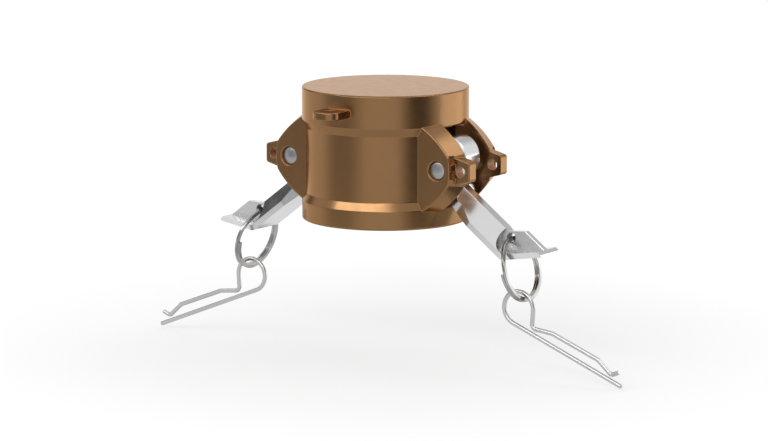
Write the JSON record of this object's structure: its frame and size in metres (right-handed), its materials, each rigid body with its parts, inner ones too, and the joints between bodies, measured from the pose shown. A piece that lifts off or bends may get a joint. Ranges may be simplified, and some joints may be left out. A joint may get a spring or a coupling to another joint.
{
  "type": "camlock dust cap",
  "caption": "Round cast cap for a cam-and-groove pipe end, with hinged cam levers, split rings and wire safety clips.",
  "frame": {"origin": "centre of the cap's open mouth, in the plane of its rim", "axes": "+Z along the cap's axis to the closed end, +X through the right lever, -Y to the side of the chain eyelet"},
  "size_m": [0.2478, 0.0873, 0.1214],
  "materials": {
    "bronze": "satin",
    "gasket_rubber": "matte",
    "cast_stainless": "satin",
    "pin_steel": "satin",
    "ring_steel": "polished",
    "clip_steel": "polished"
  },
  "bodies": {
    "cap": {"cap_body": "bronze", "gasket": "gasket_rubber", "pivot_pin_right": "pin_steel", "pivot_pin_left": "pin_steel"},
    "lever_right": {"cam_lever_right": "cast_stainless"},
    "ring_right": {"split_ring_right": "ring_steel"},
    "clip_right": {"safety_clip_right": "clip_steel"},
    "lever_left": {"cam_lever_left": "cast_stainless"},
    "ring_left": {"split_ring_left": "ring_steel"},
    "clip_left": {"safety_clip_left": "clip_steel"}
  },
  "joints": [
    {"name": "lever_right_pivot", "type": "hinge", "parent": "cap", "child": "lever_right", "pos_m": [0.0391, 0, 0.0265], "axis": [0, -1, 0], "range_deg": [0, 120]},
    {"name": "ring_right_swing", "type": "hinge", "parent": "lever_right", "child": "ring_right", "pos_m": [0.06721, 0, -0.00241], "axis": [0, -1, 0], "range_deg": [-8, 40]},
    {"name": "clip_right_swing", "type": "hinge", "parent": "ring_right", "child": "clip_right", "pos_m": [0.07164, -0.0028, -0.03298], "axis": [0, -1, 0], "range_deg": [-120, 10]},
    {"name": "lever_left_pivot", "type": "hinge", "parent": "cap", "child": "lever_left", "pos_m": [-0.0391, 0, 0.0265], "axis": [0, 1, 0], "range_deg": [0, 120]},
    {"name": "ring_left_swing", "type": "hinge", "parent": "lever_left", "child": "ring_left", "pos_m": [-0.06721, 0, -0.00241], "axis": [0, 1, 0], "range_deg": [-8, 40]},
    {"name": "clip_left_swing", "type": "hinge", "parent": "ring_left", "child": "clip_left", "pos_m": [-0.07164, -0.0028, -0.03298], "axis": [0, 1, 0], "range_deg": [-120, 10]}
  ]
}
